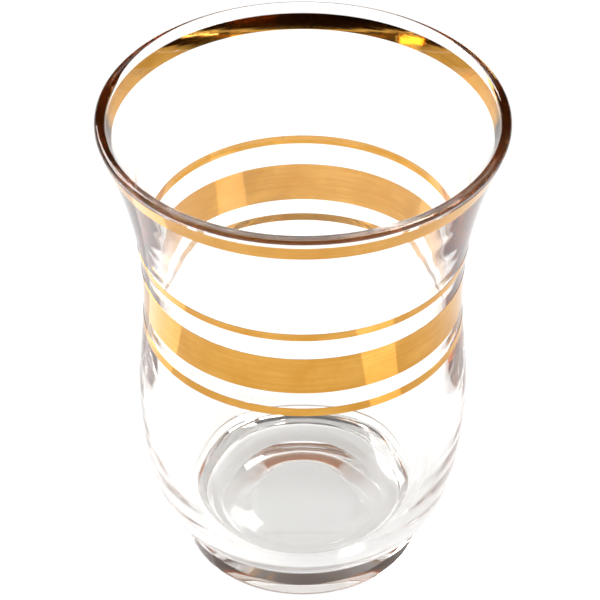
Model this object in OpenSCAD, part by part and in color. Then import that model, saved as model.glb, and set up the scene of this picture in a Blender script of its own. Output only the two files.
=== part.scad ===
// Footed tea glass: a pressed clear-glass tumbler with a flared mouth, a drawn-in waist
// and a full belly on a short foot, decorated with fired-on bright gold.
// Every section is given as [radius, height] and turned about the Z axis.
// The glass stands on z = 0.

/* [Overall] */
// Outside diameter over the lip
rim_d = 67.6; // [60:0.1:76]
// Height from the table to the top of the lip
height = 88.2; // [80:0.1:100]

/* [Outside shape] */
// Radius of the lip's outer rounding
lip_out_r = 0.8; // [0.5:0.05:1.1]
// Radius of the lip's inner rounding
lip_in_r = 1.1; // [0.7:0.05:1.4]
// How far the wall leans out where it runs into the lip, in degrees
lip_lean = 22; // [10:1:32]
// Outside diameter at the waist
waist_d = 53.7; // [48:0.1:56]
// Height of the waist
waist_z = 53; // [48:0.5:58]
// How late the mouth opens out: 2 is an even curve, more stays upright for longer
flare_power = 2; // [1.6:0.1:3]
// Outside diameter at the belly
belly_d = 56.4; // [54:0.1:62]
// Height of the belly
belly_z = 33; // [28:0.5:38]

/* [Foot] */
// Outside diameter of the foot
foot_d = 41.2; // [36:0.2:46]
// Height of the foot, up to where the belly starts
foot_h = 7.3; // [5:0.1:9]
// Radius of the hollow between the foot and the belly
foot_fillet_r = 1.2; // [0.4:0.1:2]
// Rounding of the foot's bottom edge
foot_edge_r = 0.8; // [0.3:0.1:1.5]
// Diameter of the hollow under the foot
punt_d = 30; // [22:0.5:33]
// Diameter of the flat middle of that hollow, inside its sloping shoulder
punt_flat_d = 19.2; // [10:0.2:21]
// Depth of the hollow under the foot
punt_depth = 1.4; // [0.6:0.1:2.5]

/* [Inside shape] */
// Wall thickness at the waist
waist_wall = 2.2; // [1.6:0.1:3.2]
// Wall thickness at the belly
belly_wall = 2.8; // [2:0.1:4]
// Thickness of the bottom, from the table to the inside floor
floor_t = 6.2; // [5:0.1:12]
// Diameter of the flat middle of the inside floor
floor_flat_d = 29; // [16:0.5:34]
// How square the inside turns from its floor into the wall: 2 is an ellipse
inside_fullness = 2.15; // [2:0.05:3]

/* [Gold] */
// Thickness of the fired gold
gold_t = 0.06; // [0.04:0.01:0.12]
// Width of the gold band on the outside just under the lip
rim_gold_w = 2.9; // [1.5:0.1:6]
// Clear glass between the top of the lip and that gold band
rim_gap = 1.95; // [1.6:0.05:4]
// Height of the middle of the broad band
band_z = 55.4; // [50:0.1:60]
// Width of the broad band
band_w = 7.3; // [4:0.1:10]
// Width of the two fine lines
line_w = 1.5; // [0.8:0.1:2.5]
// Clear glass between the broad band and the upper line
upper_gap = 4.1; // [2:0.1:6]
// Clear glass between the broad band and the lower line
lower_gap = 3.15; // [2:0.05:6]

/* [Hidden] */

// Straight steps in a whole curve, and in a small rounding
curve_steps = 24;
round_steps = 8;
$fn = 96;

clear_glass = [0.86, 0.92, 0.92, 0.35];
bright_gold = [0.83, 0.62, 0.24];

rim_r = rim_d / 2;
waist_r = waist_d / 2;
belly_r = belly_d / 2;
foot_r = foot_d / 2;
punt_r = punt_d / 2;
punt_flat_r = punt_flat_d / 2;
floor_flat_r = floor_flat_d / 2;

// Middles of the lip's two roundings, one above the other
lip_out = [rim_r - lip_out_r, height - lip_out_r];
lip_in = [rim_r - lip_out_r, height - lip_in_r];
// The wall's two faces where they run into the lip
mouth_out = lip_out + lip_out_r * [cos(lip_lean), -sin(lip_lean)];
mouth_in = lip_in + lip_in_r * [-cos(lip_lean), -sin(lip_lean)];
// Inside radii of the wall
waist_in_r = waist_r - waist_wall;
belly_in_r = belly_r - belly_wall;
// Top of the foot's upright side
foot_side_z = foot_h - foot_fillet_r;

// The lines stand clear of the broad band, above and below it
band_low_z = band_z - band_w / 2;
band_high_z = band_z + band_w / 2;
upper_line_z = band_high_z + upper_gap;
lower_line_z = band_low_z - lower_gap - line_w;
// The gold under the lip hangs below its clear edge
rim_gold_z = height - rim_gap - rim_gold_w;

// Stations 0 to 1, without the first one, so that joined curves share no point
function stations(steps) = [for (i = [1 : steps]) i / steps];
function reversed(list) = [for (i = [len(list) - 1 : -1 : 0]) list[i]];

// Part of a circle from angle a0 to a1
function arc(middle, r, a0, a1) =
    [for (t = stations(round_steps)) let (a = a0 + (a1 - a0) * t) middle + r * [cos(a), sin(a)]];

// Quarter round that rises from a flat start to an upright end, an ellipse at fullness 2 and squarer above it
function bowl(start, end, fullness = 2) =
    [for (t = stations(curve_steps))
        [start[0] + (end[0] - start[0]) * pow(sin(90 * t), 2 / fullness),
         end[1] - (end[1] - start[1]) * pow(cos(90 * t), 2 / fullness)]];

// Easy S between two upright ends
function swell(start, end) =
    [for (t = stations(curve_steps))
        [start[0] + (end[0] - start[0]) * (1 - cos(180 * t)) / 2, start[1] + (end[1] - start[1]) * t]];

// Curve that leaves an upright start and opens out more and more
function flare(start, end) =
    [for (t = stations(curve_steps))
        [start[0] + (end[0] - start[0]) * pow(t, flare_power), start[1] + (end[1] - start[1]) * t]];

// Outside face, from the table up to the lip
outside = concat(
    [[foot_r - foot_edge_r, 0]],
    arc([foot_r - foot_edge_r, foot_edge_r], foot_edge_r, -90, 0),
    [[foot_r, foot_side_z]],
    arc([foot_r + foot_fillet_r, foot_side_z], foot_fillet_r, 180, 90),
    bowl([foot_r + foot_fillet_r, foot_h], [belly_r, belly_z]),
    swell([belly_r, belly_z], [waist_r, waist_z]),
    flare([waist_r, waist_z], mouth_out)
);

// Inside face, from the middle of the floor up to the lip
inside = concat(
    [[0, floor_t], [floor_flat_r, floor_t]],
    bowl([floor_flat_r, floor_t], [belly_in_r, belly_z], inside_fullness),
    swell([belly_in_r, belly_z], [waist_in_r, waist_z]),
    flare([waist_in_r, waist_z], mouth_in)
);

// Round of the lip, from the wall's outside over the top to its inside
lip = concat(
    arc(lip_out, lip_out_r, -lip_lean, 90),
    arc(lip_in, lip_in_r, 90, 180 + lip_lean)
);

// Hollow under the foot, from its rim up the sloping shoulder and in to the middle
punt = [[punt_r, 0], [punt_flat_r, punt_depth], [0, punt_depth]];

// Outside radius at a height, above the foot
outside_by_height = [for (p = outside) if (p[1] > foot_h) [p[1], p[0]]];
function outside_r(z) = lookup(z, outside_by_height);

// Piece of the outside face between two heights
function outside_between(z0, z1) = concat(
    [[outside_r(z0), z0]],
    [for (p = outside) if (p[1] > z0 && p[1] < z1) p],
    [[outside_r(z1), z1]]
);

function pushed_out(face) = [for (p = face) p + [gold_t, 0]];

module glass_body() {
    color(clear_glass) rotate_extrude() polygon(concat(outside, lip, reversed(inside), reversed(punt)));
}

// Coat of gold between the outside face and the same face pushed out
module gold_ring(z0, width) {
    face = outside_between(z0, z0 + width);
    color(bright_gold) rotate_extrude() polygon(concat(face, reversed(pushed_out(face))));
}

module rim_gold() {
    gold_ring(rim_gold_z, rim_gold_w);
}

module upper_line() {
    gold_ring(upper_line_z, line_w);
}

module broad_band() {
    gold_ring(band_low_z, band_w);
}

module lower_line() {
    gold_ring(lower_line_z, line_w);
}

glass_body();
rim_gold();
upper_line();
broad_band();
lower_line();
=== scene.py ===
import math

import bpy
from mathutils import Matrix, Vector, noise


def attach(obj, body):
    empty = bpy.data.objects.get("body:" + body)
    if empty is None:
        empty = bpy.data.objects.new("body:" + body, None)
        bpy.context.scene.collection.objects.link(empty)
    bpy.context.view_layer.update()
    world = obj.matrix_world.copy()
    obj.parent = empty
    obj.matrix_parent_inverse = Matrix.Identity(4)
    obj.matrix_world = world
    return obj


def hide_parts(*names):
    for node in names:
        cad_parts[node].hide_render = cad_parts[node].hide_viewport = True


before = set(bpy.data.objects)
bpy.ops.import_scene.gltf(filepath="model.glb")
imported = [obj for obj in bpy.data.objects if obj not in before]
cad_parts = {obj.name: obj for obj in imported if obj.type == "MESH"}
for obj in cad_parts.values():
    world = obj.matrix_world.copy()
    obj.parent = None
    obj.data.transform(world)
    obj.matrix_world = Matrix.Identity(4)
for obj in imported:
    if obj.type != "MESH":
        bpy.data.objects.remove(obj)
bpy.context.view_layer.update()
print("frame loaded:", ", ".join(sorted(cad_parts)))

mm = 0.001
white = "#FFFFFF"


def linear(hexColour):  # sRGB hex to linear RGBA
    channels = [int(hexColour[i:i + 2], 16) / 255 for i in (1, 3, 5)]
    return [c / 12.92 if c <= 0.04045 else ((c + 0.055) / 1.055) ** 2.4 for c in channels] + [1.0]


def addNode(tree, kind, settings=None, inputs=None):  # a socket given as an input is linked, a value is set
    node = tree.nodes.new(kind)
    for name, value in (settings or {}).items():
        setattr(node, name, value)
    for name, value in (inputs or {}).items():
        if isinstance(value, bpy.types.NodeSocket):
            tree.links.new(value, node.inputs[name])
        else:
            node.inputs[name].default_value = value
    return node


# settings that several nodes share; a colour mix has its two colours at sockets 6 and 7 and its result at 2
colourMix = {"data_type": "RGBA"}
numberMix = {"data_type": "FLOAT"}
smooth = {"interpolation_type": "SMOOTHSTEP"}


def limits(side, ends):  # the From or the To sockets of a Map Range
    return {side + " Min": ends[0], side + " Max": ends[1]}


def newMaterial(name):
    material = bpy.data.materials.new(name)
    material.use_nodes = True
    material.node_tree.nodes.clear()
    return material, material.node_tree


# steps in a curve, in a rounding and round the glass, few enough that the export need not thin the mesh;
# an edge that turns by more than sharpFrom degrees stays sharp
curve = {"steps": 38, "roundSteps": 10, "segments": 288, "sharpFrom": 11.5}


# curves of a section, as (radius, height) in mm; each leaves out its first point,
# which the curve before it has
def stations(count):
    return [(i + 1) / count for i in range(count)]


def between(start, end, share):
    return start + (end - start) * share


def arc(middle, radius, fromAngle, toAngle, count):
    angles = [math.radians(between(fromAngle, toAngle, t)) for t in stations(count)]
    return [(middle[0] + radius * math.cos(a), middle[1] + radius * math.sin(a)) for a in angles]


def bowl(start, end, fullness):  # quarter round, flat at its start and upright at its end; 2 is an ellipse
    turns = [math.radians(90 * t) for t in stations(curve["steps"])]
    return [(between(start[0], end[0], math.sin(a) ** (2 / fullness)),
             between(end[1], start[1], max(math.cos(a), 0.0) ** (2 / fullness))) for a in turns]


def swell(start, end):  # easy S between two upright ends
    return [(between(start[0], end[0], (1 - math.cos(math.pi * t)) / 2), between(start[1], end[1], t))
            for t in stations(curve["steps"])]


def flare(start, end, power):  # upright at its start, opening out more and more
    return [(between(start[0], end[0], t ** power), between(start[1], end[1], t))
            for t in stations(curve["steps"])]


def straight(start, end, count):
    return [(between(start[0], end[0], t), between(start[1], end[1], t)) for t in stations(count)]


# the glass, pressed and then fire-polished: sizes in mm, as in the CAD part, but the rim lies 0.02 further
# in, because the CAD mesh cuts the corners of its circle
glass = {
    "rimRadius": 33.78, "height": 88.2, "lipOutRound": 0.8, "lipInRound": 1.1, "lipLean": 22,
    "waistRadius": 26.85, "waistHeight": 53.0, "flarePower": 2.0,
    "bellyRadius": 28.2, "bellyHeight": 33.0, "outsideFullness": 2.0,
    "footRadius": 20.6, "footHeight": 7.3, "footHollow": 1.2, "footEdge": 0.8,
    "puntRadius": 15.0, "puntFlat": 9.6, "puntDepth": 1.4,
    "waistWall": 2.2, "bellyWall": 2.8, "floorThickness": 6.2, "floorFlat": 14.5, "insideFullness": 2.15,
    # steps in the straight stretches
    "puntSteps": 10, "shoulderSteps": 8, "ringSteps": 4, "footSteps": 4, "floorSteps": 16,
}
lipTop = glass["rimRadius"] - glass["lipOutRound"]
lipOut = (lipTop, glass["height"] - glass["lipOutRound"])
lipIn = (lipTop, glass["height"] - glass["lipInRound"])
mouthOut = arc(lipOut, glass["lipOutRound"], 0, -glass["lipLean"], 1)[0]
lipRound = arc(lipOut, glass["lipOutRound"], -glass["lipLean"], 0, curve["roundSteps"])
lipRound += arc(lipOut, glass["lipOutRound"], 0, 90, 2 * curve["roundSteps"])
lipRound += arc(lipIn, glass["lipInRound"], 90, 180 + glass["lipLean"], 2 * curve["roundSteps"])
bellyOut = (glass["bellyRadius"], glass["bellyHeight"])
waistOut = (glass["waistRadius"], glass["waistHeight"])
bellyIn = (glass["bellyRadius"] - glass["bellyWall"], glass["bellyHeight"])
waistIn = (glass["waistRadius"] - glass["waistWall"], glass["waistHeight"])
footSide = glass["footHeight"] - glass["footHollow"]
hollowRadius = glass["footRadius"] + glass["footHollow"]
footBottom = glass["footRadius"] - glass["footEdge"]
puntEdge = (glass["puntFlat"], glass["puntDepth"])
floorEdge = (glass["floorFlat"], glass["floorThickness"])

underside = straight((0, glass["puntDepth"]), puntEdge, glass["puntSteps"])
underside += straight(puntEdge, (glass["puntRadius"], 0), glass["shoulderSteps"])
underside += straight((glass["puntRadius"], 0), (footBottom, 0), glass["ringSteps"])
outside = arc((footBottom, glass["footEdge"]), glass["footEdge"], -90, 0, curve["roundSteps"])
outside += straight((glass["footRadius"], glass["footEdge"]), (glass["footRadius"], footSide),
                    glass["footSteps"])
outside += arc((hollowRadius, footSide), glass["footHollow"], 180, 90, curve["roundSteps"])
outside += bowl((hollowRadius, glass["footHeight"]), bellyOut, glass["outsideFullness"])
outside += swell(bellyOut, waistOut)
outside += flare(waistOut, mouthOut, glass["flarePower"])
inside = straight((0, glass["floorThickness"]), floorEdge, glass["floorSteps"])
inside += bowl(floorEdge, bellyIn, glass["insideFullness"])
inside += swell(bellyIn, waistIn)
inside += flare(waistIn, lipRound[-1], glass["flarePower"])

# the plunger leaves the upper wall's inside a little wavy, the mould leaves the outside smooth: depths and
# lengths in mm; the finer waves are a share as deep, and so many times closer
waviness = {"depth": 0.035, "around": 13.0, "upright": 4.5, "fineShare": 0.4, "fineCloser": 2.3,
            "fadeBelowLip": (86.0, 76.0), "fadeAboveBelly": (50.0, 62.0)}


def fade(value, ends):  # 0 at the first end, 1 at the second
    share = (value - ends[0]) / (ends[1] - ends[0])
    return max(0.0, min(1.0, share))


def insideWave(angle, radius, height):
    depth = waviness["depth"]
    for ends in ("fadeBelowLip", "fadeAboveBelly"):
        depth *= fade(height, waviness[ends])
    place = Vector((radius * math.cos(angle) / waviness["around"],
                    radius * math.sin(angle) / waviness["around"], height / waviness["upright"]))
    return depth * (noise.noise(place) + waviness["fineShare"] * noise.noise(waviness["fineCloser"] * place))


def turned(name, section, closed):
    # turns points (radius, height, its wave or None) about Z; a closed section is a ring,
    # an open one ends on the axis at both ends
    count = curve["segments"]
    verts, faces, rings = [], [], []
    for radius, height, wave in section:
        ring = []
        for i in range(count):
            angle = 2 * math.pi * i / count
            r = (radius + (wave(angle, radius, height) if wave else 0.0)) * mm
            ring.append(len(verts))
            verts.append((r * math.cos(angle), r * math.sin(angle), height * mm))
        rings.append(ring)
    pairs = list(zip(rings, rings[1:]))
    if closed:
        pairs.append((rings[-1], rings[0]))
    for low, high in pairs:
        for i in range(count):
            j = (i + 1) % count
            faces.append((low[i], low[j], high[j], high[i]))
    if not closed:
        for ring, height, downward in ((rings[0], section[0][1], True), (rings[-1], section[-1][1], False)):
            pole = len(verts)
            verts.append((0, 0, height * mm))
            for i in range(count):
                j = (i + 1) % count
                faces.append((ring[j], ring[i], pole) if downward else (ring[i], ring[j], pole))
    mesh = bpy.data.meshes.new(name)
    mesh.from_pydata(verts, [], faces)
    mesh.shade_smooth()
    mesh.set_sharp_from_angle(angle=math.radians(curve["sharpFrom"]))
    piece = bpy.data.objects.new(name, mesh)
    bpy.context.collection.objects.link(piece)
    return piece


def dressed(piece, node, material):
    piece.data.materials.append(material)
    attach(piece, "root")
    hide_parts(node)


# pattern lengths in mm; the tint of the depth is what light takes on over a long way through the glass
glassLook = {"swirl": 9.0, "tints": ("#FDFEFD", white), "skin": 3.0, "ripple": 0.1, "rippleStrength": 0.02,
             "ior": 1.52, "depthTint": "#8A5A2A", "depthDensity": 7.5}


def sodaLimeGlass():
    # pressed, then fire-polished: clear and very smooth, with a faint swirl left by the hot gather
    material, tree = newMaterial("sodaLimeGlass")
    place = addNode(tree, "ShaderNodeTexCoord")
    swirl = addNode(tree, "ShaderNodeTexNoise", inputs={
        "Vector": place.outputs["Object"], "Scale": 1 / (glassLook["swirl"] * mm),
        "Detail": 2.0, "Distortion": 0.6})
    tint = addNode(tree, "ShaderNodeMix", colourMix, {
        "Factor": swirl.outputs["Fac"], 6: linear(glassLook["tints"][0]), 7: linear(glassLook["tints"][1])})
    skin = addNode(tree, "ShaderNodeTexNoise", inputs={
        "Vector": place.outputs["Object"], "Scale": 1 / (glassLook["skin"] * mm), "Detail": 1.0})
    ripple = addNode(tree, "ShaderNodeBump", inputs={
        "Strength": glassLook["rippleStrength"], "Distance": glassLook["ripple"] * mm,
        "Height": skin.outputs["Fac"]})
    shader = addNode(tree, "ShaderNodeBsdfPrincipled", inputs={
        "Base Color": tint.outputs[2], "Roughness": 0.0, "IOR": glassLook["ior"], "Transmission Weight": 1.0,
        "Normal": ripple.outputs["Normal"]})
    depth = addNode(tree, "ShaderNodeVolumeAbsorption", inputs={
        "Color": linear(glassLook["depthTint"]), "Density": glassLook["depthDensity"]})
    addNode(tree, "ShaderNodeOutputMaterial", inputs={
        "Surface": shader.outputs[0], "Volume": depth.outputs[0]})
    return material


section = [(r, z, None) for r, z in underside + outside + lipRound]
section += [(r, z, insideWave) for r, z in reversed(inside[:-1])]
glassBody = turned("glassBody", section, False)
dressed(glassBody, "glass_body", sodaLimeGlass())
print("glass turned:", len(glassBody.data.polygons), "faces")

# fired gold: each ring lies a little in the glass, so that it also shows from inside the glass; mm
gold = {
    "stands": 0.05, "sunk": 0.03, "steps": 12,
    "rings": {
        "rimGold": {"node": "rim_gold", "low": 83.35, "width": 2.9},
        "upperLine": {"node": "upper_line", "low": 63.15, "width": 1.5},
        "broadBand": {"node": "broad_band", "low": 51.75, "width": 7.3},
        "lowerLine": {"node": "lower_line", "low": 47.1, "width": 1.5},
    },
}
# pattern lengths in mm: a streak's around and upright; a spot's edge is a share of the way between spots
goldLook = {"streakAround": 14.0, "streakUpright": 0.5, "cloud": 5.0, "film": ("#D0953F", "#DFA854"),
            "filmEnds": (0.12, 0.4), "spotApart": 1.6, "spotEdge": (0.05, 0.09), "spotDepth": (0.55, 0.0),
            "spot": "#A8742C", "streakEnds": (0.3, 0.7), "roughness": (0.02, 0.06)}


def brightGold():
    # liquid gold painted on a banding wheel and fired: a mirror with fine streaks around the glass
    # where the brush ran thick and thin, and pin-sized spots where it dried
    material, tree = newMaterial("firedBrightGold")
    place = addNode(tree, "ShaderNodeTexCoord")
    around, upright = 1 / (goldLook["streakAround"] * mm), 1 / (goldLook["streakUpright"] * mm)
    along = addNode(tree, "ShaderNodeMapping", inputs={
        "Vector": place.outputs["Object"], "Scale": (around, around, upright)})
    streaks = addNode(tree, "ShaderNodeTexNoise", inputs={
        "Vector": along.outputs[0], "Scale": 1.0, "Detail": 3.0, "Roughness": 0.6})
    cloud = addNode(tree, "ShaderNodeTexNoise", inputs={
        "Vector": place.outputs["Object"], "Scale": 1 / (goldLook["cloud"] * mm), "Detail": 2.0})
    thin = addNode(tree, "ShaderNodeMath", {"operation": "MULTIPLY"}, {
        0: streaks.outputs["Fac"], 1: cloud.outputs["Fac"]})
    share = addNode(tree, "ShaderNodeMapRange", inputs={
        "Value": thin.outputs[0], **limits("From", goldLook["filmEnds"])})
    film = addNode(tree, "ShaderNodeMix", colourMix, {
        "Factor": share.outputs[0], 6: linear(goldLook["film"][0]), 7: linear(goldLook["film"][1])})
    dots = addNode(tree, "ShaderNodeTexVoronoi", {"feature": "F1"}, {
        "Vector": place.outputs["Object"], "Scale": 1 / (goldLook["spotApart"] * mm)})
    spots = addNode(tree, "ShaderNodeMapRange", inputs={
        "Value": dots.outputs["Distance"],
        **limits("From", goldLook["spotEdge"]), **limits("To", goldLook["spotDepth"])})
    colour = addNode(tree, "ShaderNodeMix", colourMix, {
        "Factor": spots.outputs[0], 6: film.outputs[2], 7: linear(goldLook["spot"])})
    gloss = addNode(tree, "ShaderNodeMapRange", inputs={
        "Value": streaks.outputs["Fac"],
        **limits("From", goldLook["streakEnds"]), **limits("To", goldLook["roughness"])})
    shader = addNode(tree, "ShaderNodeBsdfPrincipled", inputs={
        "Base Color": colour.outputs[2], "Metallic": 1.0, "Roughness": gloss.outputs[0]})
    addNode(tree, "ShaderNodeOutputMaterial", inputs={"Surface": shader.outputs[0]})
    return material


def outsideRadius(height):
    for (r0, z0), (r1, z1) in zip(outside, outside[1:]):
        if z0 > glass["footHeight"] and z0 <= height <= z1:
            return between(r0, r1, (height - z0) / (z1 - z0))


goldMaterial = brightGold()
for name, ring in gold["rings"].items():
    heights = [ring["low"] + ring["width"] * i / gold["steps"] for i in range(gold["steps"] + 1)]
    face = [(outsideRadius(z), z) for z in heights]
    outer = [(r + gold["stands"], z, None) for r, z in face]
    inner = [(r - gold["sunk"], z, None) for r, z in reversed(face)]
    dressed(turned(name, outer + inner, True), ring["node"], goldMaterial)
print("gold rings turned:", len(gold["rings"]))

# white table, in metres, but mm below the foot: it glows where it is seen directly or mirrored, so that it
# stays as white as the photograph's; its matte part keeps the shadow, and shows most through the glass
table = {"size": 0.7, "below": 0.1, "paint": "#F2F2F0", "gloss": 0.06, "glossRoughness": 0.03,
         "glow": {"Is Camera Ray": 0.95, "Is Glossy Ray": 0.9, "Is Transmission Ray": 0.4}}


def whiteTable():
    # lacquered board: matte white under a thin gloss that mirrors the lamps
    material, tree = newMaterial("lacqueredBoard")
    path = addNode(tree, "ShaderNodeLightPath")
    share = 0.0
    for ray, part in table["glow"].items():
        share = addNode(tree, "ShaderNodeMix", numberMix, {
            0: path.outputs[ray], 2: share, 3: part}).outputs[0]
    glow = addNode(tree, "ShaderNodeEmission", inputs={"Color": linear(white), "Strength": 1.0})
    matte = addNode(tree, "ShaderNodeBsdfDiffuse", inputs={"Color": linear(table["paint"])})
    mix = addNode(tree, "ShaderNodeMixShader", inputs={0: share, 1: matte.outputs[0], 2: glow.outputs[0]})
    gloss = addNode(tree, "ShaderNodeBsdfGlossy", inputs={
        "Color": (*[table["gloss"]] * 3, 1), "Roughness": table["glossRoughness"]})
    both = addNode(tree, "ShaderNodeAddShader", inputs={0: mix.outputs[0], 1: gloss.outputs[0]})
    addNode(tree, "ShaderNodeOutputMaterial", inputs={"Surface": both.outputs[0]})
    return material


bpy.ops.mesh.primitive_plane_add(size=table["size"], location=(0, 0, -table["below"] * mm))
floor = bpy.context.object
floor.name = "floor"
floor.data.materials.append(whiteTable())

# two softboxes: degrees round from the camera's side, positive to the right, and up from the table; metres
# and watts; they look at a point a little over half-way up the glass
softboxes = {
    "rightSoftbox": {"round": 58, "up": 36, "distance": 0.9, "size": (0.34, 0.5), "power": 5.3},
    "leftSoftbox": {"round": -124, "up": 36, "distance": 0.9, "size": (0.6, 0.5), "power": 9.4},
}
lampAim = Vector((0, 0, 0.05))
for name, box in softboxes.items():
    turn, lift = math.radians(box["round"]), math.radians(box["up"])
    toLamp = box["distance"] * Vector((math.sin(turn) * math.cos(lift), -math.cos(turn) * math.cos(lift),
                                       math.sin(lift)))
    lamp = bpy.data.lights.new(name, "AREA")
    lamp.shape = "RECTANGLE"
    lamp.size, lamp.size_y = box["size"]
    lamp.energy = box["power"]
    holder = bpy.data.objects.new(name, lamp)
    bpy.context.collection.objects.link(holder)
    holder.location = toLamp + lampAim
    holder.rotation_euler = (-toLamp).to_track_quat("-Z", "Y").to_euler()

# the room: a white ceiling over dim walls, darkest on the camera's side, and white below the table;
# each edge is where one runs into the next, on the axis of the direction looked in
room = {"front": "#120E0C", "back": "#4A2E18", "frontEdge": (-0.5, 0.3),
        "ceilingGlow": (1.0, 1.2), "ceilingEdge": (0.605, 0.66), "floorEdge": (-0.02, -0.08)}
world = bpy.data.worlds.new("studioRoom")
bpy.context.scene.world = world
world.use_nodes = True
tree = world.node_tree
tree.nodes.clear()
place = addNode(tree, "ShaderNodeTexCoord")
axes = addNode(tree, "ShaderNodeSeparateXYZ", inputs={0: place.outputs["Generated"]})
depth = addNode(tree, "ShaderNodeMapRange", smooth, {
    "Value": axes.outputs["Y"], **limits("From", room["frontEdge"])})
walls = addNode(tree, "ShaderNodeMix", colourMix, {
    "Factor": depth.outputs[0], 6: linear(room["front"]), 7: linear(room["back"])})
rise = addNode(tree, "ShaderNodeMapRange", smooth, {
    "Value": axes.outputs["Z"], **limits("From", room["ceilingEdge"])})
upper = addNode(tree, "ShaderNodeMix", colourMix, {
    "Factor": rise.outputs[0], 6: walls.outputs[2], 7: linear(white)})
sink = addNode(tree, "ShaderNodeMapRange", smooth, {
    "Value": axes.outputs["Z"], **limits("From", room["floorEdge"])})
whole = addNode(tree, "ShaderNodeMix", colourMix, {
    "Factor": sink.outputs[0], 6: upper.outputs[2], 7: linear(white)})
path = addNode(tree, "ShaderNodeLightPath")
seen = addNode(tree, "ShaderNodeMix", colourMix, {
    "Factor": path.outputs["Is Camera Ray"], 6: whole.outputs[2], 7: linear(white)})
glow = addNode(tree, "ShaderNodeMapRange", inputs={
    "Value": rise.outputs[0], **limits("To", room["ceilingGlow"])})
air = addNode(tree, "ShaderNodeBackground", inputs={"Color": seen.outputs[2], "Strength": glow.outputs[0]})
addNode(tree, "ShaderNodeOutputWorld", inputs={"Surface": air.outputs[0]})
print("table, lamps and room set")

# camera, as the photograph's: a long lens, looking down into the mouth; mm, metres and degrees
view = {"lens": 180.0, "sensor": 36.0, "distance": 0.5086, "elevation": 38.5, "aim": (-0.00049, 0, 0.0497)}
bounces = 96  # light runs a long way inside the wall and the bottom
tilt = math.radians(view["elevation"])
lens = bpy.data.cameras.new("camera")
lens.lens = view["lens"]
lens.sensor_width = view["sensor"]
camera = bpy.data.objects.new("camera", lens)
bpy.context.collection.objects.link(camera)
camera.location = Vector(view["aim"]) + view["distance"] * Vector((0, -math.cos(tilt), math.sin(tilt)))
camera.rotation_euler = (math.pi / 2 - tilt, 0, 0)
scene = bpy.context.scene
scene.camera = camera
scene.view_settings.view_transform = "Standard"
scene.cycles.max_bounces = bounces
scene.cycles.transmission_bounces = bounces
scene.cycles.glossy_bounces = bounces
print("camera set")
